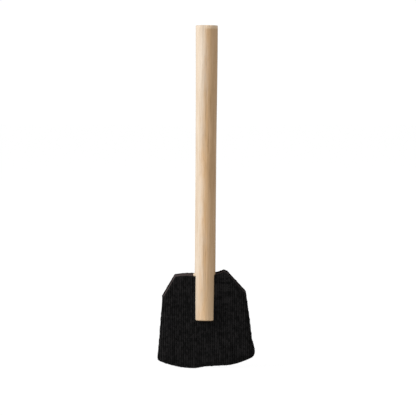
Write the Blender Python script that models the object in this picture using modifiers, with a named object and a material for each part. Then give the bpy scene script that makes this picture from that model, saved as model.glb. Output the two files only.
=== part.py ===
"""A foam sponge brush: a black, cloth-faced foam pad glued to a round wooden handle.

Metres, +Z up along the handle. The pad's slotted face looks along -Y, and the origin is
the middle of the base of the whole brush's box, under the pad's working edge.

The pad is one sandwich, cut through with scissors: knitted cloth, foam, knitted cloth.
The handle lies in a slot through the front cloth and in a round channel in the foam, where
a bed of glue holds its rear half. Nothing on the brush moves.
"""

import math

import bmesh
import bpy
from mathutils import Matrix, Vector

MM = 0.001

# Driving dimensions
OVERALL_HEIGHT = 62.0 * MM
HANDLE_RADIUS = 1.88 * MM
HANDLE_TOP_RADIUS = 1.985 * MM
HANDLE_FLARE_LENGTH = 24.0 * MM
HANDLE_CHAMFER = 0.25 * MM
HANDLE_LEAN = math.radians(0.43)
SET_IN_HEIGHT = 8.74 * MM
AXIS_X_AT_SET_IN = -0.27 * MM

CLOTH_THICKNESS = 0.45 * MM
FOAM_THICKNESS = 2.94 * MM
GLUE_THICKNESS = 0.20 * MM
GAP = 0.03 * MM
FRONT_CUT_STEP = 0.25 * MM
GLUE_TOP = 16.4 * MM

# How far the handle's axis lies behind the pad's front face
AXIS_DEPTH = 0.75 * MM
PAD_THICKNESS = 2 * (CLOTH_THICKNESS + GAP) + FOAM_THICKNESS
PAD_BEHIND_AXIS = PAD_THICKNESS - AXIS_DEPTH

# The box is centred on Y = 0, so its two faces set where the axis lies
AXIS_Y = (HANDLE_TOP_RADIUS - PAD_BEHIND_AXIS) / 2
PAD_FRONT_Y = AXIS_Y - AXIS_DEPTH
PAD_BACK_Y = AXIS_Y + PAD_BEHIND_AXIS

# Facets
ROUND_STEPS = 48
FLARE_ROWS = 6
ARC_STEP = 0.45 * MM

# The pad's corners in millimetres, clockwise from the top left as seen from the front:
# across, up, and how far the cut to the next corner bows out of the straight line.
PAD_CORNERS = (
    (-5.73, 16.91, 0.10),
    (-2.30, 17.13, 0.00),
    (1.66, 17.30, -0.07),
    (3.20, 17.80, 0.05),
    (3.95, 17.43, 0.00),
    (7.23, 13.86, 0.03),
    (8.36, 5.15, 0.00),
    (8.76, 3.75, 0.28),
    (8.38, 1.98, 0.16),
    (4.30, 0.58, 0.00),
    (-0.27, 0.31, 0.00),
    (-1.95, 0.00, 0.34),
    (-8.46, 1.33, 0.10),
    (-8.83, 1.98, -0.06),
    (-7.95, 13.13, 0.00),
)
FRONT_STEP_CORNERS = (0, 1)


def bowed(start, end, bow):
    """Points from start up to, but not with, end, on an arc that bows out to the left of the way there."""
    along = end - start
    chord = along.length
    if abs(bow) < GAP:
        return [start]
    outwards = Vector((-along.y, along.x)) / chord
    radius = chord * chord / (8 * abs(bow)) + abs(bow) / 2
    half_angle = math.asin(chord / (2 * radius))
    count = max(3, round(chord / ARC_STEP))
    points = []
    for i in range(count):
        angle = half_angle * (2 * i / count - 1)
        run = chord / 2 + radius * math.sin(angle)
        rise = radius * math.cos(angle) - radius * math.cos(half_angle)
        points.append(start + along * (run / chord) + outwards * math.copysign(rise, bow))
    return points


def pad_outline(front_step=0.0):
    """The pad's outline as (across, up), its box standing on 0 and centred across.

    front_step lowers the top edge left of the handle, where the front cloth was cut shorter.
    """
    corners = [Vector((x, z)) * MM for x, z, _ in PAD_CORNERS]
    points = []
    for i, (_, _, bow) in enumerate(PAD_CORNERS):
        points += bowed(corners[i], corners[(i + 1) % len(corners)], bow * MM)
    middle = (min(p.x for p in points) + max(p.x for p in points)) / 2
    base = min(p.y for p in points)
    top_left_end = corners[FRONT_STEP_CORNERS[1]]
    top_left_start = corners[FRONT_STEP_CORNERS[0]]
    outline = []
    for p in points:
        on_step = top_left_start.x <= p.x <= top_left_end.x and p.y >= top_left_start.y
        drop = front_step if on_step else 0.0
        outline.append(Vector((p.x - middle, p.y - base - drop)))
    return outline


def clear_scene():
    for obj in list(bpy.data.objects):
        bpy.data.objects.remove(obj)


def make_collection(name):
    collection = bpy.data.collections.new(name)
    bpy.context.scene.collection.children.link(collection)
    return collection


def make_material(name, colour, roughness):
    material = bpy.data.materials.new(name)
    material.use_nodes = True
    shader = material.node_tree.nodes["Principled BSDF"]
    shader.inputs["Base Color"].default_value = (*colour, 1.0)
    shader.inputs["Roughness"].default_value = roughness
    shader.inputs["Metallic"].default_value = 0.0
    return material


def add_object(name, mesh, collection, material=None):
    obj = bpy.data.objects.new(name, mesh)
    collection.objects.link(obj)
    if material:
        mesh.materials.append(material)
    return obj


def handle_place():
    """Carries the handle's own frame, its lower end at 0 on the Z axis, to its place in the pad."""
    foot = Matrix.Translation((AXIS_X_AT_SET_IN, AXIS_Y, SET_IN_HEIGHT))
    return foot @ Matrix.Rotation(HANDLE_LEAN, 4, "Y")


def handle_length():
    """The leaning handle's length, so that the higher side of its top face reaches the full height."""
    upright = OVERALL_HEIGHT - SET_IN_HEIGHT
    tilt_rise = (HANDLE_TOP_RADIUS - HANDLE_CHAMFER) * math.sin(HANDLE_LEAN)
    return (upright - tilt_rise) / math.cos(HANDLE_LEAN)


def handle_radius(height):
    """The dowel's radius at a height above its lower end: even below, and a little thicker towards its top."""
    into_flare = (height - (handle_length() - HANDLE_FLARE_LENGTH)) / HANDLE_FLARE_LENGTH
    t = min(max(into_flare, 0.0), 1.0)
    return HANDLE_RADIUS + (HANDLE_TOP_RADIUS - HANDLE_RADIUS) * t * t * (3 - 2 * t)


def handle_profile(grow=0.0):
    """The turned profile as (radius, height), top to bottom, every face moved out by grow."""
    length = handle_length()
    flare_start = length - HANDLE_FLARE_LENGTH
    top = length + grow
    profile = [(0.0, top), (HANDLE_TOP_RADIUS - HANDLE_CHAMFER + grow, top)]
    for i in range(FLARE_ROWS + 1):
        height = length - HANDLE_CHAMFER - (length - HANDLE_CHAMFER - flare_start) * i / FLARE_ROWS
        profile.append((handle_radius(height) + grow, height))
    profile.append((HANDLE_RADIUS + grow, HANDLE_CHAMFER))
    profile.append((HANDLE_RADIUS - HANDLE_CHAMFER + grow, -grow))
    profile.append((0.0, -grow))
    return profile


def turned(name, profile, collection, material=None):
    """A solid of revolution about its own Z axis, standing in the handle's place."""
    mesh = bpy.data.meshes.new(name)
    edges = [(i, i + 1) for i in range(len(profile) - 1)]
    mesh.from_pydata([(radius, 0.0, height) for radius, height in profile], edges, [])
    obj = add_object(name, mesh, collection, material)
    obj.matrix_world = handle_place()
    screw = obj.modifiers.new("turn", "SCREW")
    screw.axis = "Z"
    screw.steps = ROUND_STEPS
    screw.render_steps = ROUND_STEPS
    screw.use_merge_vertices = True
    screw.merge_threshold = 1e-6
    screw.use_smooth_shade = True
    return obj


def slab(name, outline, front_y, thickness, collection, material):
    """A flat sheet cut to the outline, from front_y back through its thickness."""
    curve = bpy.data.curves.new(name + "_outline", "CURVE")
    curve.dimensions = "2D"
    curve.fill_mode = "BOTH"
    curve.extrude = thickness / 2
    spline = curve.splines.new("POLY")
    spline.points.add(len(outline) - 1)
    for point, corner in zip(spline.points, outline):
        point.co = (corner.x, corner.y, 0.0, 1.0)
    spline.use_cyclic_u = True
    drawn = bpy.data.objects.new(name + "_outline", curve)
    collection.objects.link(drawn)
    drawn.matrix_world = Matrix.Translation((0.0, front_y + thickness / 2, 0.0)) @ Matrix.Rotation(
        math.radians(90), 4, "X"
    )
    return as_mesh(drawn, name, collection, material)


def as_mesh(drawn, name, collection, material):
    """Replaces a curve by its mesh, with the caps welded to the sides, so that Booleans can cut it."""
    bpy.context.view_layer.update()
    graph = bpy.context.evaluated_depsgraph_get()
    mesh = bpy.data.meshes.new_from_object(drawn.evaluated_get(graph))
    mesh.name = name
    form = bmesh.new()
    form.from_mesh(mesh)
    bmesh.ops.remove_doubles(form, verts=form.verts, dist=1e-6)
    bmesh.ops.recalc_face_normals(form, faces=form.faces)
    form.to_mesh(mesh)
    form.free()
    mesh.materials.clear()
    obj = add_object(name, mesh, collection, material)
    obj.matrix_world = drawn.matrix_world.copy()
    bpy.data.objects.remove(drawn)
    return obj


def box(name, low, high, collection):
    """A cutter box between two corners."""
    mesh = bpy.data.meshes.new(name)
    form = bmesh.new()
    bmesh.ops.create_cube(form, size=1.0)
    size = [b - a for a, b in zip(low, high)]
    middle = [(a + b) / 2 for a, b in zip(low, high)]
    bmesh.ops.scale(form, vec=size, verts=form.verts)
    bmesh.ops.translate(form, vec=middle, verts=form.verts)
    form.to_mesh(mesh)
    form.free()
    return add_object(name, mesh, collection)


def hide_cutter(obj):
    obj.hide_render = True
    obj.display_type = "WIRE"


def boolean(obj, other, operation):
    modifier = obj.modifiers.new(operation.lower() + "_" + other.name, "BOOLEAN")
    modifier.operation = operation
    modifier.object = other


def make_handle(parts):
    wood = make_material("dowel_wood", (0.62, 0.45, 0.27), 0.55)
    return turned("handle_dowel", handle_profile(), parts, wood)


def make_front_cloth(parts, cutters):
    """The knitted facing in front, slit open to the handle's width and hugging its sides."""
    cloth = make_material("knitted_cloth", (0.008, 0.0075, 0.0078), 0.9)
    outline = pad_outline(FRONT_CUT_STEP)
    front = slab("front_cloth", outline, PAD_FRONT_Y, CLOTH_THICKNESS, parts, cloth)
    slot = turned("slot_cutter", handle_profile(GAP), cutters)
    hide_cutter(slot)
    boolean(front, slot, "DIFFERENCE")
    return front


def make_foam_core(parts, cutters):
    """The sponge between the cloths, with the round channel that the handle and its glue lie in."""
    foam = make_material("sponge_foam", (0.030, 0.022, 0.021), 0.95)
    core_y = PAD_FRONT_Y + CLOTH_THICKNESS + GAP
    core = slab("foam_core", pad_outline(), core_y, FOAM_THICKNESS, parts, foam)
    channel = turned("channel_cutter", handle_profile(2 * GAP + GLUE_THICKNESS), cutters)
    hide_cutter(channel)
    boolean(core, channel, "DIFFERENCE")
    return core


def make_back_cloth(parts):
    """The knitted facing behind, left whole."""
    cloth = bpy.data.materials["knitted_cloth"]
    back_y = PAD_BACK_Y - CLOTH_THICKNESS
    return slab("back_cloth", pad_outline(), back_y, CLOTH_THICKNESS, parts, cloth)


def make_glue_bed(parts, cutters):
    """The cured glue round the handle's rear half and under its end: a gutter with a closed foot."""
    glue = make_material("cured_glue", (0.55, 0.42, 0.25), 0.35)
    bed = turned("glue_bed", handle_profile(GAP + GLUE_THICKNESS), parts, glue)
    hollow = turned("glue_hollow", handle_profile(GAP), cutters)
    keep = box(
        "glue_extent",
        (-2 * HANDLE_TOP_RADIUS, AXIS_Y, SET_IN_HEIGHT - HANDLE_RADIUS),
        (2 * HANDLE_TOP_RADIUS, PAD_BACK_Y, GLUE_TOP),
        cutters,
    )
    for cutter in (hollow, keep):
        hide_cutter(cutter)
    boolean(bed, hollow, "DIFFERENCE")
    boolean(bed, keep, "INTERSECT")
    return bed


def main():
    clear_scene()
    parts = make_collection("foam_sponge_brush")
    cutters = make_collection("cutters")
    make_handle(parts)
    make_front_cloth(parts, cutters)
    make_foam_core(parts, cutters)
    make_back_cloth(parts)
    make_glue_bed(parts, cutters)


main()
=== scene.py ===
"""The looks of a foam sponge brush: a turned wooden dowel set in the face of a black pad.

The pad is real knitted cloth here, loop by loop, over a ground cloth and a sponge whose cut
edge shows its cells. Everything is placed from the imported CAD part, in metres.
"""

import math

import bmesh
import bpy
import numpy as np
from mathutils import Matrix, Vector, geometry, kdtree


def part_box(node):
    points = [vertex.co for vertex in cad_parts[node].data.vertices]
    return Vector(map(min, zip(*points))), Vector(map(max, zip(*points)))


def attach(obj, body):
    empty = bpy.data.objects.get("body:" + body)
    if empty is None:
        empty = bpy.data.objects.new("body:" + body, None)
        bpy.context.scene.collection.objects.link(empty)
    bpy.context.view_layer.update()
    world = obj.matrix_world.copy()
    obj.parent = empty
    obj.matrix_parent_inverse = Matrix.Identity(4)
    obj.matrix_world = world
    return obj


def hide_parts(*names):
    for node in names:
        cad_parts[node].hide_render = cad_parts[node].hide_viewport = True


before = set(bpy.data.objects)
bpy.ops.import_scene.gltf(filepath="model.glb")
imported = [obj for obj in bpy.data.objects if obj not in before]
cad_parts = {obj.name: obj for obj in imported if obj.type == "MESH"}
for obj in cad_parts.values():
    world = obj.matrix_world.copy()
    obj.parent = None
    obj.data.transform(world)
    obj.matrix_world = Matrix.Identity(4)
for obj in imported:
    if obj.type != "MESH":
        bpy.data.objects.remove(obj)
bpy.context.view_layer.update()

MM = 0.001
TAU = 2 * math.pi

# The knit: one loop is a wale wide and a course tall
WALE = 0.40 * MM
COURSE = 0.34 * MM
YARN_RADIUS = 0.083 * MM
LOOP_STEPS = 10
YARN_SIDES = 5

# The pad's surface
RIM_STEP = 0.06 * MM
RIM_SINK = 0.30 * MM
RIM_SOFT = 0.50 * MM
LIP_RISE = 0.14 * MM
LIP_SOFT = 0.80 * MM

# The slit's edge: folds of cloth from the dowel to the knit, and a two-strand cord on them
LIP_STEP = 0.07 * MM
FOLDS = 4
FOLD_RADIUS = 0.07 * MM
CORD_RADIUS = 0.064 * MM
CORD_OFFSET = 0.046 * MM
CORD_TWIST = 0.42 * MM

# The sponge's cut edge
CELL = 0.34 * MM
FOAM_ROWS = 42
FOAM_INSET = 0.03 * MM

# The dowel's surface
DOWEL_CHAMFER = 0.25 * MM
DOWEL_TOP_CHAMFER = 0.15 * MM
DOWEL_SIDES = 180
DOWEL_ROWS = 420
END_RINGS = 14


# ---------------------------------------------------------------- numbers


def noise(points, cell, seed):
    """Smooth noise from -1 to 1, with features about cell across: one size, or one for each axis."""
    table = np.random.default_rng(seed).uniform(-1, 1, (48, 48, 48))
    at = np.asarray(points, float) / cell
    low = np.floor(at).astype(int)
    part = at - low
    part = part * part * (3 - 2 * part)
    total = np.zeros(len(at))
    for corner in np.ndindex(2, 2, 2):
        weight = np.prod(np.where(corner, part, 1 - part), axis=1)
        i, j, k = ((low + corner) % 48).T
        total += weight * table[i, j, k]
    return total


def flat_noise(x, z, cell, seed):
    return noise(np.stack([x, np.zeros_like(x), z], axis=1), cell, seed)


def bell(distance, width):
    return np.exp(-((distance / width) ** 2))


def step(value, low, high):
    """0 below low, 1 above high, smooth between."""
    t = np.clip((value - low) / (high - low), 0, 1)
    return t * t * (3 - 2 * t)


def distance_to(line, points):
    """How far each (x, z) point is from a chain of (x, z) points."""
    best = np.full(len(points), np.inf)
    for a, b in zip(line[:-1], line[1:]):
        along = b - a
        t = np.clip((points - a) @ along / (along @ along), 0, 1)
        best = np.minimum(best, np.hypot(*(points - a - t[:, None] * along).T))
    return best


def inside(polygon, points):
    """Whether each (x, z) point is inside the polygon."""
    x, z = points.T
    odd = np.zeros(len(points), bool)
    for (x0, z0), (x1, z1) in zip(polygon, np.roll(polygon, -1, axis=0)):
        crosses = (z0 > z) != (z1 > z)
        if crosses.any():
            odd ^= crosses & (x < (x1 - x0) * (z - z0) / (z1 - z0 + 1e-15) + x0)
    return odd


def resampled(line, spacing, closed):
    """The line or the closed loop again, with a point every spacing or so."""
    if closed:
        line = np.vstack([line, line[:1]])
    run = np.concatenate([[0], np.cumsum(np.hypot(*np.diff(line, axis=0).T))])
    at = np.linspace(0, run[-1], round(run[-1] / spacing), endpoint=not closed)
    return np.stack([np.interp(at, run, line[:, k]) for k in range(2)], axis=1)


def smoothed(values, passes):
    for _ in range(passes):
        values = (np.roll(values, 1, axis=0) + 2 * values + np.roll(values, -1, axis=0)) / 4
    return values


# ---------------------------------------------------------------- what the CAD says


def node_points(node):
    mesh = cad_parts[node].data
    co = np.empty(len(mesh.vertices) * 3, np.float32)
    mesh.vertices.foreach_get("co", co)
    return co.reshape(-1, 3).astype(float)


def back_outline(node):
    """The corners of a CAD sheet's back face, in order round it, as (x, z)."""
    form = bmesh.new()
    form.from_mesh(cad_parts[node].data)
    bmesh.ops.remove_doubles(form, verts=form.verts, dist=1e-6)
    back = max(v.co.y for v in form.verts)

    def on_back(face):
        return all(abs(v.co.y - back) < 1e-6 for v in face.verts)

    rim = [e for e in form.edges if sum(on_back(f) for f in e.link_faces) == 1]
    neighbours = {}
    for edge in rim:
        a, b = edge.verts
        neighbours.setdefault(a, []).append(b)
        neighbours.setdefault(b, []).append(a)
    start = min(neighbours, key=lambda v: (v.co.z, v.co.x))
    walk, last, here = [start], None, start
    while True:
        ahead = next(v for v in neighbours[here] if v is not last)
        if ahead is start:
            break
        walk.append(ahead)
        last, here = here, ahead
    outline = np.array([(v.co.x, v.co.z) for v in walk])
    form.free()
    area = np.cross(outline, np.roll(outline, -1, axis=0)).sum()
    return outline[::-1] if area < 0 else outline


class Dowel:
    """The handle's axis and radii, measured on its CAD node."""

    def __init__(self):
        co = node_points("handle_dowel")
        low, high = co[:, 2].min(), co[:, 2].max()
        top = co[co[:, 2] > high - 0.1 * MM]
        foot = co[co[:, 2] < low + 0.1 * MM]
        self.foot, self.top = ((ring.min(0) + ring.max(0)) / 2 for ring in (foot, top))
        self.length = float(np.linalg.norm(self.top - self.foot))
        self.along = (self.top - self.foot) / self.length
        self.side = np.cross([0.0, 1.0, 0.0], self.along)
        reach = np.linalg.norm(np.cross(co - self.foot, self.along), axis=1)
        height = (co - self.foot) @ self.along
        self.top_radius = float(reach.max())
        self.radius = float(reach[height < 0.5 * self.length].max())
        self.flare = float(height[(reach > 0.99 * self.radius) & (height > self.length / 2)].min())

    def radius_at(self, height):
        t = step(height, self.flare, self.length)
        return self.radius + (self.top_radius - self.radius) * t

    def x_at(self, z):
        return self.foot[0] + (z - self.foot[2]) * self.along[0] / self.along[2]


# ---------------------------------------------------------------- the pad's form


class Pad:
    """The pad's outline and its soft faces. Front is -Y."""

    def __init__(self, dowel):
        self.dowel = dowel
        self.front_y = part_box("front_cloth")[0].y
        self.back_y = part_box("back_cloth")[1].y
        self.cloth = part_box("front_cloth")[1].y - self.front_y
        self.rim = resampled(back_outline("back_cloth"), RIM_STEP, closed=True)
        tangent = smoothed(np.roll(self.rim, -1, axis=0) - np.roll(self.rim, 1, axis=0), 16)
        tangent /= np.hypot(*tangent.T)[:, None]
        self.out = np.stack([tangent[:, 1], -tangent[:, 0]], axis=1)
        self.top_z = self.rim[:, 1].max()
        self.slant = self.cut_slant()
        self.slot_half = math.sqrt(dowel.radius**2 - (dowel.foot[1] - self.front_y) ** 2)
        self.coarse = self.rim[::4]

    def cut_slant(self):
        """How much shorter the front was cut than the back, round the rim."""
        x, z = self.rim.T
        run = np.arange(len(x)) * RIM_STEP
        wander = flat_noise(run, np.zeros_like(run), 4 * MM, 5)
        top = step(z, 15.8 * MM, 16.8 * MM) * step(-x, 1 * MM, 2 * MM)
        shoulders = step(z, 12 * MM, 13.5 * MM) * (1 - top)
        sides = step(z, 2.5 * MM, 5 * MM) * (0.06 + 0.07 * wander)
        self.overhang = smoothed(0.13 * MM * shoulders, 6)
        return smoothed(np.maximum(sides + 0.25 * top + 0.07 * shoulders, 0) * MM, 6)

    def rim_at(self, share):
        """The rim's (x, z) points at a share of the way from the front face to the back."""
        pinch = 0.10 * MM * (4 * share * (1 - share)) ** 2
        under = self.overhang * step(1 - share, 0.05, 0.11)
        return self.rim - self.out * (self.slant * (1 - share) + under + pinch)[:, None]

    def slot_path(self, grow):
        """The slit in the front cloth, from the top down its left lip and up its right lip."""
        half = self.slot_half + grow
        bottom = self.dowel.foot[2] - grow - 0.02 * MM
        corner = 0.35 * MM
        levels = np.arange(self.top_z + 0.5 * MM, bottom + corner, -0.15 * MM)
        left = [(self.dowel.x_at(z) - half, z) for z in levels]
        right = [(self.dowel.x_at(z) + half, z) for z in levels[::-1]]
        middle = self.dowel.x_at(bottom)
        foot = []
        for side, angles in ((-1, np.linspace(0, 90, 6)), (1, np.linspace(90, 0, 6))):
            for angle in np.radians(angles):
                across = half - corner + corner * math.cos(angle)
                sag = 0.04 * MM * math.sin(angle)
                foot.append((middle + side * across, bottom + corner - corner * math.sin(angle) - sag))
        return np.array(left + foot + right)

    def front_polygon(self, grow=0.0):
        """The front cloth's cut: the rim in front, with the open slit taken out."""
        rim = self.rim_at(0.0)
        slot = self.slot_path(grow)
        above = self.top_z + 1 * MM
        gap = inside(np.vstack([slot, [slot[-1][0], above], [slot[0][0], above]]), rim)
        kept = np.roll(np.arange(len(rim)), -int(np.flatnonzero(gap & ~np.roll(gap, -1))[0] + 1))
        kept = kept[~gap[kept]]
        first, last = rim[kept[0]], rim[kept[-1]]
        # The rim runs anticlockwise, so it ends at the slit's right lip and starts at its left.
        inner = slot[::-1] if last[0] > first[0] else slot
        inner = inner[inner[:, 1] < max(first[1], last[1]) - 0.05 * MM]
        return np.vstack([rim[kept], inner])

    def front(self, x, z):
        """The Y of the front cloth's outer face."""
        points = np.stack([x, z], axis=1)
        rim = distance_to(np.vstack([self.coarse, self.coarse[:1]]), points)
        slot = distance_to(self.slot_path(0.0), points)
        right = step(x - self.dowel.x_at(z), 0, 1 * MM)
        high = step(z, 10.5 * MM, 13 * MM)
        y = self.front_y + RIM_SINK * bell(rim, RIM_SOFT) + 0.10 * MM * bell(rim, 1.6 * MM)
        y -= LIP_RISE * bell(slot - 0.35 * MM, LIP_SOFT) * (1 + 1.6 * right * high)
        y += 0.10 * MM * bell(slot, 0.16 * MM)
        y += 0.050 * MM * flat_noise(x, z, 3.4 * MM, 11) + 0.022 * MM * flat_noise(x, z, 1.1 * MM, 12)
        creases = flat_noise(x, z, np.array([3.2, 1, 0.75]) * MM, 13)
        return y + 0.055 * MM * creases * bell(slot - 1.0 * MM, 1.6 * MM) * (0.4 + 1.6 * right * high)

    def front_painted_highlight(self, x, z):
        """How much paler the front's yarn is painted: a painted highlight on the crests of the folds by the
        slit's right lip, and along the lit left edge.
        """
        right = step(x - self.dowel.x_at(z), 0, 1 * MM) * step(self.slot_half + 3.6 * MM - x, 0, 2 * MM)
        high = step(z, 10.5 * MM, 12.5 * MM)
        folds = flat_noise(x, z, np.array([2.0, 1, 0.42]) * MM, 15)
        lit_left_edge = bell(x + 8.0 * MM, 1.2 * MM)
        return (0.35 + 2.6 * folds) * right * high + 0.35 * lit_left_edge

    def back(self, x, z):
        """The Y of the back cloth's outer face."""
        points = np.stack([x, z], axis=1)
        rim = distance_to(np.vstack([self.coarse, self.coarse[:1]]), points)
        over = bell(x - self.dowel.x_at(z), 1.5 * MM) * step(z, 7.4 * MM, 9.5 * MM)
        y = self.back_y - RIM_SINK * bell(rim, RIM_SOFT) - 0.10 * MM * bell(rim, 1.6 * MM)
        y += 0.10 * MM * over
        return y + 0.05 * MM * flat_noise(x, z, 3.4 * MM, 21) + 0.02 * MM * flat_noise(x, z, 1.1 * MM, 22)


# ---------------------------------------------------------------- meshes


def new_piece(name, points, faces, material):
    mesh = bpy.data.meshes.new(name)
    mesh.from_pydata(np.asarray(points).tolist(), [], [list(f) for f in faces])
    mesh.polygons.foreach_set("use_smooth", [True] * len(mesh.polygons))
    mesh.materials.append(material)
    mesh.update()
    piece = bpy.data.objects.new(name, mesh)
    bpy.context.scene.collection.objects.link(piece)
    return piece


def set_attribute(piece, name, values):
    attribute = piece.data.attributes.new(name, "FLOAT", "POINT")
    attribute.data.foreach_set("value", np.asarray(values, np.float32))


def ride(piece, replaces=None):
    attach(piece, "root")
    if replaces:
        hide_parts(replaces)
    return piece


class Tubes:
    """Many thin tubes gathered into one mesh."""

    def __init__(self, sides):
        self.sides = sides
        self.points, self.faces, self.shades, self.count = [], [], [], 0

    def add(self, line, radii, outwards, shades=0.0):
        """A closed-ended tube along the line. outwards is a direction across it, at each point.

        shades, from -1 to 1, makes the yarn darker or paler at each point.
        """
        n, sides = len(line), self.sides
        tangent = np.gradient(line, axis=0)
        tangent /= np.linalg.norm(tangent, axis=1)[:, None] + 1e-15
        up = outwards - (outwards * tangent).sum(1)[:, None] * tangent
        up /= np.linalg.norm(up, axis=1)[:, None] + 1e-15
        across = np.cross(tangent, up)
        turn = (np.arange(sides) + 0.5) * TAU / sides
        ring = np.cos(turn)[None, :, None] * up[:, None] + np.sin(turn)[None, :, None] * across[:, None]
        self.points.append((line[:, None] + ring * np.reshape(radii, (-1, 1, 1))).reshape(-1, 3))
        self.shades.append(np.repeat(np.broadcast_to(shades, n), sides))
        here = self.count + np.arange((n - 1) * sides).reshape(n - 1, sides)
        beside = np.roll(here, -1, axis=1)
        quads = np.stack([here, here + sides, beside + sides, beside], axis=-1)
        self.faces += quads.reshape(-1, 4).tolist()
        self.faces.append(list(range(self.count, self.count + sides)))
        last = self.count + (n - 1) * sides
        self.faces.append(list(range(last + sides - 1, last - 1, -1)))
        self.count += n * sides

    def piece(self, name, material):
        piece = new_piece(name, np.vstack(self.points), self.faces, material)
        set_attribute(piece, "shade", np.concatenate(self.shades))
        return piece


def grid_faces(rows, columns, wrap):
    """Quads over a grid of points, closed round its columns where wrap is true."""
    index = np.arange(rows * columns).reshape(rows, columns)
    beside = np.roll(index, -1, axis=1)
    if not wrap:
        index, beside = index[:, :-1], beside[:, :-1]
    return np.stack([index[:-1], beside[:-1], beside[1:], index[1:]], axis=-1).reshape(-1, 4)


# ---------------------------------------------------------------- pieces


def make_dowel(dowel, material):
    """The turned stick: fine raised grain along it, pores, a softened edge and sawn end grain."""
    chamfer, top_chamfer = DOWEL_CHAMFER, DOWEL_TOP_CHAMFER
    quarter = np.linspace(0, math.pi / 2, 6)[1:]
    inner = dowel.radius - chamfer
    profile = [(inner * k / END_RINGS, 0.0, -1.0) for k in range(1, END_RINGS + 1)]
    profile += [(inner + chamfer * math.sin(a), chamfer * (1 - math.cos(a)), 0.0) for a in quarter]
    for height in np.linspace(chamfer, dowel.length - chamfer, DOWEL_ROWS)[1:-1]:
        profile.append((dowel.radius_at(height), height, 0.0))
    inner = dowel.top_radius - top_chamfer
    for angle in quarter[::-1]:
        drop = top_chamfer * (1 - math.cos(angle))
        profile.append((inner + top_chamfer * math.sin(angle), dowel.length - drop, 0.0))
    profile += [(inner * k / END_RINGS, dowel.length, 1.0) for k in range(END_RINGS, 0, -1)]
    radius, height, end = np.array(profile).T
    turn = np.arange(DOWEL_SIDES) * TAU / DOWEL_SIDES
    spoke = np.cos(turn)[:, None] * dowel.side + np.sin(turn)[:, None] * np.array([0.0, 1.0, 0.0])
    base = dowel.foot + height[:, None] * dowel.along
    points = (base[:, None] + radius[:, None, None] * spoke[None]).reshape(-1, 3)
    spokes = np.tile(spoke, (len(radius), 1))
    ends = np.repeat(end, DOWEL_SIDES)
    heights = np.repeat(height, DOWEL_SIDES)

    relief = 0.010 * noise(points, np.array([0.16, 0.16, 7]) * MM, 31)
    relief += 0.006 * noise(points, np.array([0.07, 0.07, 2.4]) * MM, 32)
    relief += 0.022 * noise(points, np.array([1.9, 1.9, 13]) * MM, 33)
    pores = noise(points, np.array([0.09, 0.09, 0.9]) * MM, 34)
    relief -= 0.035 * step(pores, 0.62, 0.85)
    from_end = np.minimum(heights, dowel.length - heights)
    chips = step(noise(points, 0.35 * MM, 35), 0.1, 0.8) * bell(from_end, 0.22 * MM)
    relief -= 0.07 * chips
    # Chips stop short of the end caps' rims, or the rings between would fold over them.
    cap_radius = np.where(height < dowel.length / 2, dowel.radius - chamfer, dowel.top_radius - top_chamfer)
    beyond_cap = np.repeat(radius - cap_radius, DOWEL_SIDES) / MM
    relief = np.maximum(relief, -0.8 * beyond_cap)
    sides = ends == 0
    points[sides] += spokes[sides] * (relief[sides] * MM)[:, None]
    saw = 0.014 * noise(points, np.array([0.12, 0.12, 0.12]) * MM, 36)
    saw += 0.005 * np.sin((points[:, 0] * 0.8 + points[:, 1]) / MM * 14)
    saw *= step(-beyond_cap, 0.0, 0.15)
    points[~sides] += (ends * saw * MM)[~sides, None] * dowel.along

    rows = len(radius)
    faces = grid_faces(rows, DOWEL_SIDES, True).tolist()
    centre = len(points)
    points = np.vstack([points, dowel.foot, dowel.foot + dowel.length * dowel.along])
    last = (rows - 1) * DOWEL_SIDES
    for k in range(DOWEL_SIDES):
        after = (k + 1) % DOWEL_SIDES
        faces.append([centre, after, k])
        faces.append([centre + 1, last + k, last + after])
    piece = new_piece("dowel", points, faces, material)
    return ride(piece, "handle_dowel")


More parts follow.
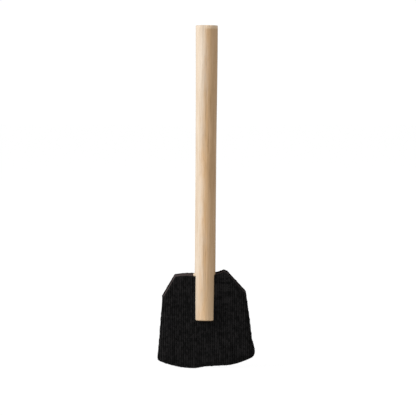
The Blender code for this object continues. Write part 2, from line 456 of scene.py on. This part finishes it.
def knitted(name, face, polygon, outward, material, seed, tone=None):
    """Plain knit over a face: row on row of yarn loops, each row cut off where the cloth is cut.

    tone gives how much paler the yarn is painted at (x, z): a painted highlight where folds and the left
    edge catch the light.
    """
    rng = np.random.default_rng(seed)
    low, high = polygon.min(0), polygon.max(0)
    wales = math.ceil((high[0] - low[0]) / WALE) + 2
    courses = math.ceil((high[1] - low[1]) / COURSE) + 2
    turn = np.arange(wales * LOOP_STEPS + 1) * TAU / LOOP_STEPS
    run = turn / TAU * WALE + low[0] - WALE
    tubes = Tubes(YARN_SIDES)
    for course in range(courses):
        level = low[1] + (course - 0.5) * COURSE
        wobble = rng.normal(0, 1, (3, wales + 2))
        of_loop = np.minimum((turn / TAU).astype(int), wales)
        wale = np.floor(turn / TAU + 0.001)
        at_top = np.sin(turn / 2) ** 2
        x = run + (0.19 * np.sin(2 * turn) + 0.09 * np.sin(turn)) * WALE
        x = x + 0.010 * MM * wobble[0][of_loop] * at_top
        z = level - 0.98 * COURSE * np.cos(turn) * (1 + 0.06 * wobble[1][of_loop] * at_top)
        x = x + 0.06 * MM * flat_noise(x, z, 2.6 * MM, seed + 1)
        z = z + 0.07 * MM * flat_noise(x, z, 3.1 * MM, seed + 2)
        points = np.stack([x, z], axis=1)
        within = inside(polygon, points)
        if within.sum() < 3:
            continue
        edges = np.flatnonzero(np.diff(np.concatenate([[0], within.astype(int), [0]])))
        for start, stop in edges.reshape(-1, 2):
            if stop - start < 4:
                continue
            cut = slice(start, stop)
            depth = YARN_RADIUS * (2.05 + 1.05 * np.cos(2 * turn[cut]))
            depth = depth + 0.012 * MM * flat_noise(x[cut], z[cut], 0.5 * MM, seed + 3)
            y = face(x[cut], z[cut]) - outward * depth
            line = np.stack([x[cut], y, z[cut]], axis=1)
            radii = YARN_RADIUS * (1 + 0.13 * flat_noise(x[cut], z[cut], 0.45 * MM, seed + 4 + course % 3))
            out = np.tile([0.0, outward, 0.0], (stop - start, 1))
            column = np.stack([wale[cut], np.zeros(stop - start), z[cut]], axis=1)
            shades = 0.8 * noise(column, np.array([1, 1, 0.36 * MM]), seed + 7)
            # Painted highlight where the cloth catches the light.
            shades += tone(x[cut], z[cut]) if tone else 0
            tubes.add(line, radii, out, shades)
    return tubes.piece(name, material)


def dowel_reach(dowel, across, clearance):
    """The Y at which something this far from the dowel's axis just lies on its front, clear of it."""
    reach = dowel.radius + clearance
    return dowel.foot[1] - np.sqrt(np.maximum(reach**2 - across**2, 0))


def slit_lips(pad, material):
    """The cloth's edge round the slit: folded in against the dowel, and rolled into a two-strand cord."""
    path = resampled(pad.slot_path(0.10 * MM), LIP_STEP, closed=False)
    path = path[inside(pad.rim_at(0.0), path)]
    run = np.arange(len(path)) * LIP_STEP
    tangent = np.gradient(path, axis=0)
    tangent /= np.hypot(*tangent.T)[:, None]
    outwards = np.stack([tangent[:, 1], np.zeros(len(path)), -tangent[:, 0]], axis=1)
    x, z = path.T
    axis = pad.dowel.x_at(z)
    beside = step(z, pad.dowel.foot[2] - 0.2 * MM, pad.dowel.foot[2] + 0.1 * MM)
    near_foot = 1 - step(z, 9 * MM, 15 * MM)
    pull = np.where(x > axis, 0.075 + 0.075 * near_foot, 0.03 * near_foot) * MM * beside
    pulled = np.sign(axis - x) * pull

    def lying_at(x, clearance):
        """A line at these x along the slit, lying on the dowel or, under its end, on the cloth."""
        lean_on = dowel_reach(pad.dowel, x - axis, clearance)
        lean_on = np.clip(lean_on, pad.front_y - 0.25 * MM, pad.front_y)
        y = smoothed(np.where(z > pad.dowel.foot[2], lean_on, pad.front_y), 3)
        return np.stack([x, y, z], axis=1)

    tubes = Tubes(7)
    facing = np.tile([0.0, -1.0, 0.0], (len(path), 1))
    for fold in range(FOLDS):
        line = lying_at(x + pulled * (1 - fold / (FOLDS - 1)), 0.05 * MM)
        tubes.add(line + (0.02 + 0.03 * fold) * MM * outwards, FOLD_RADIUS, facing)
    middle = lying_at(x + pulled, 0.11 * MM)
    middle[:, 1] += 0.015 * MM * flat_noise(run, run, 0.7 * MM, 81)
    for strand in range(2):
        turn = run * TAU / CORD_TWIST + strand * math.pi + 1.5 * flat_noise(run, run, 0.9 * MM, 82)
        round_it = np.sin(turn)[:, None] * outwards + np.cos(turn)[:, None] * np.array([0.0, 1.0, 0.0])
        radii = CORD_RADIUS * (1 + 0.16 * flat_noise(run, run, 0.25 * MM, 83 + strand))
        tubes.add(middle + CORD_OFFSET * round_it, radii, facing)
    return tubes.piece("slit_lips", material)


def flat_triangles(polygon, spacing, seed):
    """Even triangles over the inside of a polygon: their (x, z) points and corners."""
    low, high = polygon.min(0), polygon.max(0)
    x, z = np.meshgrid(*(np.arange(a, b, spacing) for a, b in zip(low, high)))
    grid = np.stack([x.ravel(), z.ravel()], axis=1)
    grid += np.random.default_rng(seed).uniform(-0.2, 0.2, grid.shape) * spacing
    clear = distance_to(np.vstack([polygon, polygon[:1]]), grid) > 0.5 * spacing
    grid = grid[inside(polygon, grid) & clear]
    points = np.vstack([polygon, grid]) / MM
    edges = [(k, (k + 1) % len(polygon)) for k in range(len(polygon))]
    found = geometry.delaunay_2d_cdt([Vector(p) for p in points], edges, [], 1, 1e-4)
    return np.array([tuple(p) for p in found[0]]) * MM, [list(f) for f in found[2]]


def ground_cloth(name, face, polygon, outward, thickness, material, seed):
    """The body of the cloth that the loops stand on, thin and closed, following the pad's face."""
    flat, triangles = flat_triangles(polygon[::2], 0.24 * MM, seed)
    x, z = flat.T
    nap = 0.012 * MM * flat_noise(x, z, 0.3 * MM, seed + 1)
    top = face(x, z) - outward * 3.3 * YARN_RADIUS + nap * outward
    bottom = face(x, z) - outward * thickness
    n = len(flat)
    points = np.vstack([np.stack([x, top, z], axis=1), np.stack([x, bottom, z], axis=1)])
    form = bmesh.new()
    verts = [form.verts.new(p) for p in points]
    for a, b, c in triangles:
        form.faces.new((verts[a], verts[b], verts[c]))
        form.faces.new((verts[c + n], verts[b + n], verts[a + n]))
    edges = [edge for a, b, c in triangles for edge in ((a, b), (b, c), (c, a))]
    used = set(edges)
    for a, b in edges:
        if (b, a) not in used:
            form.faces.new((verts[b], verts[a], verts[a + n], verts[b + n]))
    bmesh.ops.recalc_face_normals(form, faces=form.faces)
    bmesh.ops.delete(form, geom=[v for v in form.verts if not v.link_faces], context="VERTS")
    mesh = bpy.data.meshes.new(name)
    form.to_mesh(mesh)
    form.free()
    mesh.materials.append(material)
    mesh.polygons.foreach_set("use_smooth", [True] * len(mesh.polygons))
    mesh.set_sharp_from_angle(angle=math.radians(50))
    piece = bpy.data.objects.new(name, mesh)
    bpy.context.scene.collection.objects.link(piece)
    return piece


def sponge_cells(points, cell, seed):
    """How deep each point lies in a cut bubble of the sponge: 0 on a strut, 1 in a cell's middle."""
    rng = np.random.default_rng(seed)
    low, high = points.min(0) - cell, points.max(0) + cell
    counts = np.ceil((high - low) / cell).astype(int)
    places = np.stack(np.meshgrid(*map(np.arange, counts), indexing="ij"), -1).reshape(-1, 3)
    seeds = low + (places + 0.5) * cell
    seeds += rng.uniform(-0.42, 0.42, seeds.shape) * cell
    tree = kdtree.KDTree(len(seeds))
    for k, seed_point in enumerate(seeds):
        tree.insert(seed_point, k)
    tree.balance()
    deep = np.empty(len(points))
    for k, point in enumerate(points):
        (_, _, first), (_, _, second) = tree.find_n(point, 2)
        deep[k] = (second - first) / cell
    return step(deep, 0.05, 0.55)


def make_foam(pad, dowel, material):
    """The sponge between the cloths: its cut edge pitted with cells, and a channel for the dowel."""
    shares = np.linspace(0.0, 1.0, FOAM_ROWS)
    whole = pad.back_y - pad.front_y
    around = len(pad.rim)
    rows = []
    for share in shares:
        x, z = (pad.rim_at((pad.cloth + share * (whole - 2 * pad.cloth)) / whole) - pad.out * FOAM_INSET).T
        front, back = pad.front(x, z) + pad.cloth, pad.back(x, z) - pad.cloth
        rows.append(np.stack([x, front + (back - front) * share, z], axis=1))
    points = np.vstack(rows)
    deep = sponge_cells(points, CELL, 41)
    edge = np.repeat(step(np.minimum(shares, 1 - shares), 0.0, 0.06), around)
    outwards = np.tile(np.stack([pad.out[:, 0], np.zeros(around), pad.out[:, 1]], axis=1), (FOAM_ROWS, 1))
    ragged = 0.03 * MM * noise(points, 0.2 * MM, 42)
    points = points - outwards * ((0.5 * CELL * deep + ragged) * edge)[:, None]

    faces = grid_faces(FOAM_ROWS, around, True).tolist()
    deep = (deep * edge).tolist()
    for row, face, inward in ((0, pad.front, 1.0), (FOAM_ROWS - 1, pad.back, -1.0)):
        first = row * around
        ring = points[first : first + around, [0, 2]]
        flat, triangles = flat_triangles(ring, 0.6 * MM, 44)
        x, z = flat[around:].T
        inner = np.stack([x, face(x, z) + inward * pad.cloth, z], axis=1)
        shift = len(points) - around
        faces += [[first + k if k < around else shift + k for k in t] for t in triangles]
        points = np.vstack([points, inner])
        deep += [0.0] * len(inner)
    piece = new_piece("foam", points, faces, material)
    # The cells' depth also darkens the foam's colour as painted shade.
    set_attribute(piece, "painted_cell_shade", deep)
    face_outwards(piece)
    cut_channel(piece, dowel)
    return piece


def face_outwards(piece):
    form = bmesh.new()
    form.from_mesh(piece.data)
    bmesh.ops.recalc_face_normals(form, faces=form.faces)
    form.to_mesh(piece.data)
    form.free()


def cut_channel(piece, dowel):
    """Takes the dowel's round channel out of the foam, a little rough as a hot wire leaves it."""
    rows, sides = 60, 72
    height = np.linspace(-0.30 * MM, 11 * MM, rows)
    turn = np.arange(sides) * TAU / sides
    spoke = np.cos(turn)[:, None] * dowel.side + np.sin(turn)[:, None] * np.array([0.0, 1.0, 0.0])
    points = dowel.foot + height[:, None, None] * dowel.along + (dowel.radius + 0.25 * MM) * spoke[None]
    points = points.reshape(-1, 3)
    points += np.tile(spoke, (rows, 1)) * (0.03 * MM * noise(points, 0.35 * MM, 43))[:, None]
    faces = grid_faces(rows, sides, True).tolist()
    faces += [list(range(sides))[::-1], list(range((rows - 1) * sides, rows * sides))]
    cutter = new_piece("channel", points, faces, piece.data.materials[0])
    face_outwards(cutter)
    cut = piece.modifiers.new("channel", "BOOLEAN")
    cut.operation = "DIFFERENCE"
    cut.object = cutter
    bpy.context.view_layer.update()
    result = bpy.data.meshes.new_from_object(piece.evaluated_get(bpy.context.evaluated_depsgraph_get()))
    piece.modifiers.clear()
    piece.data = result
    result.name = piece.name
    bpy.data.objects.remove(cutter)


def make_fibres(pad, material):
    """Loose ends of fibre: a short fuzz over both faces, and longer frayed ends at the cuts."""
    rng = np.random.default_rng(51)
    tubes = Tubes(3)

    def hair(root, heading, length, radius, curl):
        steps = 8
        line = [root]
        bend = rng.normal(0, curl, 3)
        for _ in range(steps):
            heading = heading + bend / steps + rng.normal(0, 0.12, 3)
            heading = heading / np.linalg.norm(heading)
            line.append(line[-1] + heading * length / steps)
        line = np.array(line)
        radii = radius * np.linspace(1, 0.5, steps + 1)
        across = np.cross(heading, rng.normal(0, 1, 3))
        tubes.add(line, radii, np.tile(across, (steps + 1, 1)))

    polygon = pad.front_polygon()
    low, high = polygon.min(0), polygon.max(0)
    for face, outward, shape in ((pad.front, -1.0, polygon), (pad.back, 1.0, pad.rim_at(1.0))):
        spots = rng.uniform(low, high, (900, 2))
        spots = spots[inside(shape, spots)]
        heights = face(*spots.T)
        for (x, z), y in zip(spots, heights):
            heading = np.array([rng.normal(0, 0.8), outward, rng.normal(0, 0.8)])
            root = np.array([x, y - outward * 0.05 * MM, z])
            hair(root, heading, rng.uniform(0.15, 0.45) * MM, 0.006 * MM, 2.2)
    for share in (0.06, 0.94):
        rim = pad.rim_at(share)
        picks = rng.choice(len(rim), 260, replace=False)
        x, z = rim[picks].T
        level = pad.front(x, z) + 0.2 * MM if share < 0.5 else pad.back(x, z) - 0.2 * MM
        for k, pick in enumerate(picks):
            out = pad.out[pick]
            heading = np.array([out[0], rng.normal(0, 0.5), out[1]]) + rng.normal(0, 0.35, 3)
            root = np.array([x[k] - out[0] * 0.08 * MM, level[k], z[k] - out[1] * 0.08 * MM])
            hair(root, heading, rng.uniform(0.12, 0.42) * MM, 0.008 * MM, 1.6)
    return tubes.piece("loose_fibres", material)


def make_glue_bead(pad, dowel, material):
    """The uneven bead that the glue dried to, round the dowel's back, ending in a drop on its left."""
    angles = np.radians(np.linspace(-8, 202, 150))
    left = step(angles, math.radians(172), math.radians(192))
    wander = 0.10 * np.sin(3 * angles + 1) + 0.05 * np.sin(7 * angles)
    drip = step(angles, math.radians(191), math.radians(202))
    level = pad.top_z - 1.30 * MM + (wander * (1 - left) + 0.60 * left - 0.62 * drip) * MM
    reach = dowel.radius + (0.12 - 0.06 * left) * MM
    spokes = np.cos(angles)[:, None] * dowel.side + np.sin(angles)[:, None] * np.array([0.0, 1.0, 0.0])
    line = dowel.foot + (level - dowel.foot[2])[:, None] * dowel.along + reach[:, None] * spokes
    ends = np.minimum(angles - angles[0], angles[-1] - angles)
    taper = np.minimum(1.0, np.sqrt(7 * ends + 0.05))
    radii = (0.11 + 0.02 * np.sin(5 * angles) + 0.10 * left - 0.10 * drip) * MM * taper
    tubes = Tubes(12)
    tubes.add(line, radii, np.tile(dowel.along, (len(line), 1)))
    return tubes.piece("glue_bead", material)


# ---------------------------------------------------------------- materials


class Nodes:
    """A material's node tree, built with short calls."""

    def __init__(self, name):
        self.material = bpy.data.materials.new(name)
        self.material.use_nodes = True
        self.tree = self.material.node_tree
        self.shader = self.tree.nodes["Principled BSDF"]

    def node(self, kind, inputs=None, **settings):
        made = self.tree.nodes.new(kind)
        for key, value in settings.items():
            setattr(made, key, value)
        for key, value in (inputs or {}).items():
            if isinstance(value, bpy.types.NodeSocket):
                self.tree.links.new(value, made.inputs[key])
            else:
                made.inputs[key].default_value = value
        return made

    def millimetres(self, scale=(1, 1, 1), turn=(0, 0, 0)):
        """The object's own coordinates in millimetres, stretched by scale."""
        place = self.node("ShaderNodeTexCoord").outputs["Object"]
        return self.node(
            "ShaderNodeMapping",
            {"Vector": place, "Scale": tuple(1000 * s for s in scale), "Rotation": turn},
        ).outputs["Vector"]

    def noise(self, scale, detail=4.0, stretch=(1, 1, 1), roughness=0.55, turn=(0, 0, 0), distortion=0.0):
        made = self.node(
            "ShaderNodeTexNoise",
            {
                "Vector": self.millimetres(stretch, turn),
                "Scale": scale,
                "Detail": detail,
                "Roughness": roughness,
                "Distortion": distortion,
            },
        )
        return made.outputs["Fac"]

    def ramp(self, factor, stops):
        made = self.node("ShaderNodeValToRGB", {"Fac": factor})
        elements = made.color_ramp.elements
        while len(elements) < len(stops):
            elements.new(0.5)
        for element, (place, colour) in zip(elements, stops):
            element.position = place
            element.color = (*colour, 1.0) if len(colour) == 3 else colour
        return made.outputs["Color"]

    def value_ramp(self, factor, low, high, from_low=0.0, from_high=1.0):
        return self.node(
            "ShaderNodeMapRange",
            {"Value": factor, "From Min": from_low, "From Max": from_high, "To Min": low, "To Max": high},
        ).outputs["Result"]

    def mix(self, factor, a, b, blend="MIX"):
        made = self.node("ShaderNodeMix", data_type="RGBA", blend_type=blend)
        for key, value in ((0, factor), (6, a), (7, b)):
            if isinstance(value, bpy.types.NodeSocket):
                self.tree.links.new(value, made.inputs[key])
            elif key == 0:
                made.inputs[0].default_value = value
            else:
                made.inputs[key].default_value = (*value, 1.0)
        return made.outputs[2]

    def maths(self, operation, a, b=0.0):
        made = self.node("ShaderNodeMath", operation=operation)
        for key, value in enumerate((a, b)):
            if isinstance(value, bpy.types.NodeSocket):
                self.tree.links.new(value, made.inputs[key])
            else:
                made.inputs[key].default_value = value
        return made.outputs[0]

    def bump(self, height, distance, strength=1.0):
        made = self.node("ShaderNodeBump", {"Height": height, "Distance": distance, "Strength": strength})
        self.tree.links.new(made.outputs["Normal"], self.shader.inputs["Normal"])

    def set(self, **values):
        for key, value in values.items():
            socket = self.shader.inputs[key.replace("_", " ")]
            if isinstance(value, bpy.types.NodeSocket):
                self.tree.links.new(value, socket)
            else:
                socket.default_value = value


def wood_material(dowel):
    """Pale, close-grained hardwood, sanded and left bare. The creamy strip down its left side is partly
    sapwood and partly a painted highlight where the key light falls.
    """
    n = Nodes("bare_wood")
    streaks = n.noise(1.0, 7.0, (7.5, 7.5, 0.16), 0.62, distortion=0.15)
    fine = n.noise(1.0, 5.0, (22, 22, 0.55), 0.6)
    patches = n.noise(1.0, 3.0, (0.9, 0.9, 0.075), 0.5, turn=(0.02, 0.05, 0.6), distortion=0.8)
    flecks = n.noise(1.0, 2.0, (16, 16, 1.5), 0.5)
    tone = n.maths("ADD", n.maths("MULTIPLY", streaks, 0.55), n.maths("MULTIPLY", patches, 0.45))
    heart = n.ramp(
        tone,
        (
            (0.36, (0.46, 0.285, 0.140)),
            (0.47, (0.575, 0.370, 0.195)),
            (0.56, (0.635, 0.420, 0.235)),
            (0.68, (0.69, 0.485, 0.300)),
        ),
    )
    # The creamy colours stand partly for sapwood and partly for a painted highlight on the lit left side.
    sap_and_painted_highlight = n.ramp(
        tone,
        (
            (0.36, (0.500, 0.388, 0.280)),
            (0.50, (0.585, 0.480, 0.372)),
            (0.66, (0.630, 0.538, 0.435)),
        ),
    )
    place = n.node("ShaderNodeSeparateXYZ", {"Vector": n.millimetres()}).outputs
    lean = dowel.along[0] / dowel.along[2]
    across = n.maths("SUBTRACT", place["X"], n.maths("MULTIPLY", place["Z"], lean))
    wander = n.maths("MULTIPLY", n.maths("SUBTRACT", n.noise(1.0, 4.0, (0.8, 0.8, 0.16), 0.6), 0.5), 2.4)
    near_foot = n.value_ramp(place["Z"], 1.0, 0.0, 9, 20)
    near_top = n.value_ramp(place["Z"], 0.0, 1.0, 42, 52)
    # Near the foot the heart colour reaches further left over the strip: painted shade from the pad's lip.
    wander = n.maths("ADD", wander, n.maths("MULTIPLY", near_foot, 0.25))
    # Towards the top the creamy strip of sapwood and painted highlight is made wider.
    wander = n.maths("SUBTRACT", wander, n.maths("MULTIPLY", near_top, 0.45))
    middle = dowel.x_at(0) / MM
    radius = dowel.radius / MM
    # Share of heart colour; left of it lies the creamy strip, partly sapwood and partly painted highlight.
    heart_share_off_highlight = n.value_ramp(
        n.maths("ADD", across, wander), 0.0, 1.0, middle - 0.68 * radius, middle + 0.06 * radius
    )
    painted_light_to_right = n.value_ramp(across, 0.0, 1.0, middle - 0.4 * radius, middle + 0.6 * radius)
    # Near the foot the shaded right side is painted paler: painted light.
    heart = n.mix(n.maths("MULTIPLY", near_foot, painted_light_to_right), heart, (0.72, 0.515, 0.315))
    # Near the foot the sap is painted darker: painted shade from the pad's lip.
    sap_and_painted_highlight = n.mix(n.maths("MULTIPLY", near_foot, 0.75), sap_and_painted_highlight, (0.475, 0.380, 0.275))
    near_rim = n.value_ramp(place["Z"], 0.0, 0.7, 61.2, 61.6)
    heart = n.mix(near_rim, heart, (0.86, 0.67, 0.47))
    wood = n.mix(heart_share_off_highlight, sap_and_painted_highlight, heart)
    hairlines = n.ramp(fine, ((0.30, (0.80, 0.76, 0.70)), (0.52, (1, 1, 1))))
    wood = n.mix(0.75, wood, hairlines, "MULTIPLY")
    dark = n.ramp(flecks, ((0.68, (0, 0, 0)), (0.75, (1, 1, 1))))
    wood = n.mix(n.maths("MULTIPLY", dark, 0.5), wood, (0.30, 0.165, 0.08))
    facing = n.node("ShaderNodeSeparateXYZ", {"Vector": n.node("ShaderNodeNewGeometry").outputs["Normal"]})
    on_end = n.value_ramp(n.maths("ABSOLUTE", facing.outputs["Z"]), 0, 1, 0.75, 0.95)
    rings = n.node(
        "ShaderNodeTexWave",
        {"Vector": n.millimetres((1, 1, 0.05)), "Scale": 0.55, "Distortion": 1.6, "Detail": 3.0},
        bands_direction="DIAGONAL",
    ).outputs["Fac"]
    dots = n.noise(14.0, 2.0)
    end = n.ramp(rings, ((0.0, (0.40, 0.265, 0.150)), (1.0, (0.56, 0.405, 0.250))))
    end = n.mix(n.ramp(dots, ((0.60, (0, 0, 0)), (0.70, (1, 1, 1)))), end, (0.24, 0.145, 0.075))
    n.set(Base_Color=n.mix(on_end, wood, end))
    n.set(Roughness=n.value_ramp(streaks, 0.62, 0.46, 0.3, 0.7), Specular_IOR_Level=0.35)
    n.set(Sheen_Weight=0.05, Sheen_Roughness=0.4)
    raised = n.maths("ADD", streaks, n.maths("MULTIPLY", fine, 0.6))
    height = n.maths("SUBTRACT", raised, n.maths("MULTIPLY", dark, 0.7))
    n.bump(height, 0.000018, 0.8)
    return n.material


def yarn_material(name, low, high):
    """Black spun yarn: matt, each wale a little lighter or darker at random, paler where a painted
    highlight is carried in, with a fine hairy bump.
    """
    n = Nodes(name)
    # The shade attribute carries random loop tone and, on the front knit, a painted highlight.
    wale = n.node("ShaderNodeAttribute", attribute_name="shade").outputs["Fac"]
    strands = n.noise(9.0, 4.0, roughness=0.7)
    shade = n.maths("ADD", strands, n.maths("MULTIPLY", wale, 0.26))
    n.set(Base_Color=n.ramp(shade, ((0.34, low), (0.70, high))))
    n.set(Roughness=n.value_ramp(strands, 0.66, 0.92, 0.3, 0.7), Specular_IOR_Level=0.12)
    n.set(Sheen_Weight=0.015, Sheen_Roughness=0.4)
    n.bump(n.noise(24.0, 3.0, roughness=0.7), 0.00002, 0.7)
    return n.material


def foam_material():
    """Dark sponge, browner and paler on the struts that a cut leaves; down in its cells it is painted near
    black as painted shade.
    """
    n = Nodes("sponge_foam")
    painted_cell_shade = n.node("ShaderNodeAttribute", attribute_name="painted_cell_shade").outputs["Fac"]
    speckle = n.noise(7.0, 4.0, roughness=0.7)
    struts = n.ramp(speckle, ((0.35, (0.030, 0.0215, 0.0205)), (0.65, (0.066, 0.046, 0.044))))
    # Painted shade: the deeper in a cell, the nearer black.
    n.set(Base_Color=n.mix(n.value_ramp(painted_cell_shade, 0.0, 0.92, 0.15, 0.85), struts, (0.006, 0.005, 0.005)))
    n.set(Roughness=n.value_ramp(speckle, 0.8, 0.95), Specular_IOR_Level=0.3)
    n.bump(n.noise(11.0, 4.0, roughness=0.7), 0.00004, 0.8)
    return n.material


def glue_material():
    """Dried glue: pale amber, half clear, lightly cloudy."""
    n = Nodes("cured_glue")
    cloud = n.noise(2.5, 3.0)
    n.set(Base_Color=n.ramp(cloud, ((0.35, (0.60, 0.46, 0.31)), (0.65, (0.72, 0.60, 0.45)))))
    n.set(Roughness=n.value_ramp(cloud, 0.22, 0.42), Coat_Weight=0.2)
    n.bump(n.noise(3.0, 3.0), 0.00003, 0.6)
    return n.material


# ---------------------------------------------------------------- the studio


def only_for_camera(tree, socket, unseen, seen):
    """Gives a strength one value where the camera looks straight at it and another as a light."""
    paths = tree.nodes.new("ShaderNodeLightPath")
    amount = tree.nodes.new("ShaderNodeMapRange")
    amount.inputs["To Min"].default_value = unseen
    amount.inputs["To Max"].default_value = seen
    tree.links.new(paths.outputs["Is Camera Ray"], amount.inputs["Value"])
    tree.links.new(amount.outputs["Result"], socket)


def make_floor():
    """A plain pale floor that runs into the background, with only a faint shadow on it.

    Its glow brings it just to white for the camera. Brighter, it would eat into the outlines.
    """
    below = -0.02 * MM
    bpy.ops.mesh.primitive_circle_add(vertices=96, radius=6.0, fill_type="TRIFAN", location=(0, 0, below))
    floor = bpy.context.object
    floor.name = "floor"
    material = bpy.data.materials.new("floor_white")
    material.use_nodes = True
    shader = material.node_tree.nodes["Principled BSDF"]
    shader.inputs["Base Color"].default_value = (0.07, 0.07, 0.07, 1)
    shader.inputs["Roughness"].default_value = 0.9
    shader.inputs["Specular IOR Level"].default_value = 0.0
    shader.inputs["Emission Color"].default_value = (1, 1, 1, 1)
    only_for_camera(material.node_tree, shader.inputs["Emission Strength"], 0.64, 0.97)
    floor.data.materials.append(material)


def make_world(strength):
    """A white surround, which lights the brush more softly than it looks."""
    world = bpy.data.worlds.new("studio")
    bpy.context.scene.world = world
    world.use_nodes = True
    background = world.node_tree.nodes["Background"]
    background.inputs["Color"].default_value = (1, 1, 1, 1)
    only_for_camera(world.node_tree, background.inputs["Strength"], strength, 1.02)


def add_light(name, target, azimuth, elevation, distance, size, power):
    """A soft white panel. Azimuth 0 shines from the front, and -90 from the left."""
    data = bpy.data.lights.new(name, "AREA")
    data.shape = "DISK"
    data.size = size
    data.energy = power
    light = bpy.data.objects.new(name, data)
    bpy.context.scene.collection.objects.link(light)
    a, e = math.radians(azimuth), math.radians(elevation)
    away = Vector((math.sin(a) * math.cos(e), -math.cos(a) * math.cos(e), math.sin(e)))
    light.location = target + away * distance
    light.rotation_mode = "QUATERNION"
    light.rotation_quaternion = (-away).to_track_quat("-Z", "Y")


def make_camera():
    """A long lens, level with the brush's upper half and looking slightly down on its pad."""
    data = bpy.data.cameras.new("camera")
    data.sensor_width = 36.0
    data.lens = 200.0
    frame_width = 75.06 * MM
    distance = frame_width * data.lens / data.sensor_width
    data.clip_start, data.clip_end = 0.01, 20.0
    camera = bpy.data.objects.new("camera", data)
    bpy.context.scene.collection.objects.link(camera)
    bpy.context.scene.camera = camera
    target = Vector((0.33 * MM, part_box("front_cloth")[0].y, 29.1 * MM))
    elevation = math.radians(2.5)
    back = Vector((0.0, -math.cos(elevation), math.sin(elevation)))
    camera.location = target + back * distance
    camera.rotation_mode = "QUATERNION"
    camera.rotation_quaternion = (-back).to_track_quat("-Z", "Y")


def make_studio():
    bpy.context.scene.view_settings.view_transform = "Standard"
    target = Vector((0, 0, 0.03))
    make_floor()
    make_world(0.43)
    add_light("key", target, -66, 26, 0.9, 0.55, 9.9)
    make_camera()


# ---------------------------------------------------------------- the brush


def make_pad(pad, dowel):
    # The ground cloth is painted darker than the yarn: painted shade in the gaps between the loops.
    cloth = yarn_material("ground_cloth", (0.0006, 0.0006, 0.0006), (0.0020, 0.0018, 0.0018))
    yarn = yarn_material("black_yarn", (0.0008, 0.0007, 0.0007), (0.0128, 0.0117, 0.0119))
    # The loose fibres are paler than the yarn: partly lighter lint, partly a painted highlight so they show
    # as light specks.
    fuzz = yarn_material("loose_fibre", (0.015, 0.014, 0.0145), (0.045, 0.042, 0.043))
    foam = ride(make_foam(pad, dowel, foam_material()), "foam_core")

    # The front's knit carries a painted highlight on its fold crests and left edge.
    shapes = (
        ("front", pad.front, pad.front_polygon(), -1.0, 61, pad.front_painted_highlight),
        ("back", pad.back, pad.rim_at(1.0), 1.0, 71, None),
    )
    for side, face, polygon, outward, seed, tone in shapes:
        sheet = ground_cloth(side + "_cloth_ground", face, polygon, outward, pad.cloth, cloth, seed + 9)
        ride(sheet, side + "_cloth")
        loops = knitted(side + "_knit", face, polygon, outward, yarn, seed, tone)
        ride(loops)
    ride(slit_lips(pad, yarn))
    ride(make_fibres(pad, fuzz))


def main():
    dowel = Dowel()
    pad = Pad(dowel)
    make_studio()
    make_dowel(dowel, wood_material(dowel))
    make_pad(pad, dowel)
    glue = glue_material()
    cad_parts["glue_bed"].material_slots[0].material = glue
    ride(make_glue_bead(pad, dowel, glue))


main()
